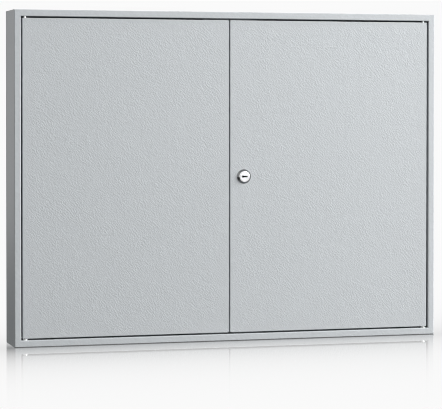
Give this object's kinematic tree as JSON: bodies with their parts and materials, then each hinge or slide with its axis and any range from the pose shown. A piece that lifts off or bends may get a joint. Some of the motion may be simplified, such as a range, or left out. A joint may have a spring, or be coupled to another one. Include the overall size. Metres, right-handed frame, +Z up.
{
  "type": "key cabinet",
  "caption": "Shallow wall cabinet with two inset hinged doors, a cam lock in the right door, sliding bolts on the left door and rows of key hooks inside.",
  "frame": {"origin": "centre of the four wall-fixing holes, on the back face", "axes": "+X to the right seen from the front, +Y out of the back face into the wall, +Z up"},
  "size_m": [0.73, 0.083, 0.55],
  "materials": {
    "cabinet_paint": "light grey powder coat with a fine orange-peel texture",
    "door_paint": "light grey powder coat with a fine leather-grain texture",
    "zinc_steel": "bright zinc plating, slightly clouded",
    "bar_paint": "pale grey powder coat, smooth satin",
    "hook_plating": "nickel-plated wire",
    "spring_steel": "drawn spring wire",
    "knob_plastic": "black moulded plastic, matt",
    "bumper_rubber": "dark grey rubber",
    "label_plastic": "white label strip with printed plain numbers",
    "lock_chrome": "polished chrome plating",
    "wafer_brass": "stamped brass, satin"
  },
  "bodies": {
    "cabinet": {"left_side_panel": "cabinet_paint", "right_side_panel": "cabinet_paint", "top_panel": "cabinet_paint", "bottom_panel": "cabinet_paint", "back_panel": "cabinet_paint", "upper_door_stop": "cabinet_paint", "lower_door_stop": "cabinet_paint", "door_bumpers": "bumper_rubber", "lower_hinge_pins": "zinc_steel", "hinge_washers": "zinc_steel", "left_upright": "zinc_steel", "centre_upright": "zinc_steel", "right_upright": "zinc_steel", "upright_studs": "zinc_steel", "upright_nuts": "zinc_steel", "left_hook_bars": "bar_paint", "right_hook_bars": "bar_paint", "left_key_hooks": "hook_plating", "right_key_hooks": "hook_plating", "left_number_strips": "label_plastic", "right_number_strips": "label_plastic"},
    "left_door": {"left_door_panel": "door_paint", "left_door_stiffener": "door_paint", "left_pin_guide": "door_paint", "left_pin_spring": "spring_steel", "upper_bolt_guide": "door_paint", "lower_bolt_guide": "door_paint"},
    "right_door": {"right_door_panel": "door_paint", "right_door_stiffener": "door_paint", "right_pin_guide": "door_paint", "right_pin_spring": "spring_steel", "lock_housing": "lock_chrome", "lock_washer": "zinc_steel", "lock_nut": "zinc_steel"},
    "left_hinge_pin": {"left_upper_pin": "zinc_steel"},
    "right_hinge_pin": {"right_upper_pin": "zinc_steel"},
    "left_upper_bolt": {"upper_bolt": "zinc_steel", "upper_bolt_knob": "knob_plastic"},
    "left_lower_bolt": {"lower_bolt": "zinc_steel", "lower_bolt_knob": "knob_plastic"},
    "plug_and_cam": {"lock_plug": "lock_chrome", "lock_wafers": "wafer_brass", "lock_cam": "zinc_steel", "cam_washer": "zinc_steel", "cam_screw": "zinc_steel"}
  },
  "joints": [
    {"name": "left_door_hinge", "type": "hinge", "parent": "cabinet", "child": "left_door", "pos_m": [-0.3465, -0.0735, 0], "axis": [0, 0, -1], "range_deg": [0, 105]},
    {"name": "right_door_hinge", "type": "hinge", "parent": "cabinet", "child": "right_door", "pos_m": [0.3465, -0.0735, 0], "axis": [0, 0, 1], "range_deg": [0, 105]},
    {"name": "left_hinge_pin_slide", "type": "slide", "parent": "left_door", "child": "left_hinge_pin", "axis": [0, 0, -1], "range_m": [0, 0.008], "stiffness_N_per_m": 400, "springref_m": -0.006, "deforming": ["left_pin_spring"]},
    {"name": "right_hinge_pin_slide", "type": "slide", "parent": "right_door", "child": "right_hinge_pin", "axis": [0, 0, -1], "range_m": [0, 0.008], "stiffness_N_per_m": 400, "springref_m": -0.006, "deforming": ["right_pin_spring"]},
    {"name": "left_upper_bolt_slide", "type": "slide", "parent": "left_door", "child": "left_upper_bolt", "axis": [0, 0, 1], "range_m": [0, 0.008]},
    {"name": "left_lower_bolt_slide", "type": "slide", "parent": "left_door", "child": "left_lower_bolt", "axis": [0, 0, -1], "range_m": [0, 0.008]},
    {"name": "lock_turn", "type": "hinge", "parent": "right_door", "child": "plug_and_cam", "pos_m": [0.024, -0.0637, 0], "axis": [0, 1, 0], "range_deg": [0, 90]}
  ]
}
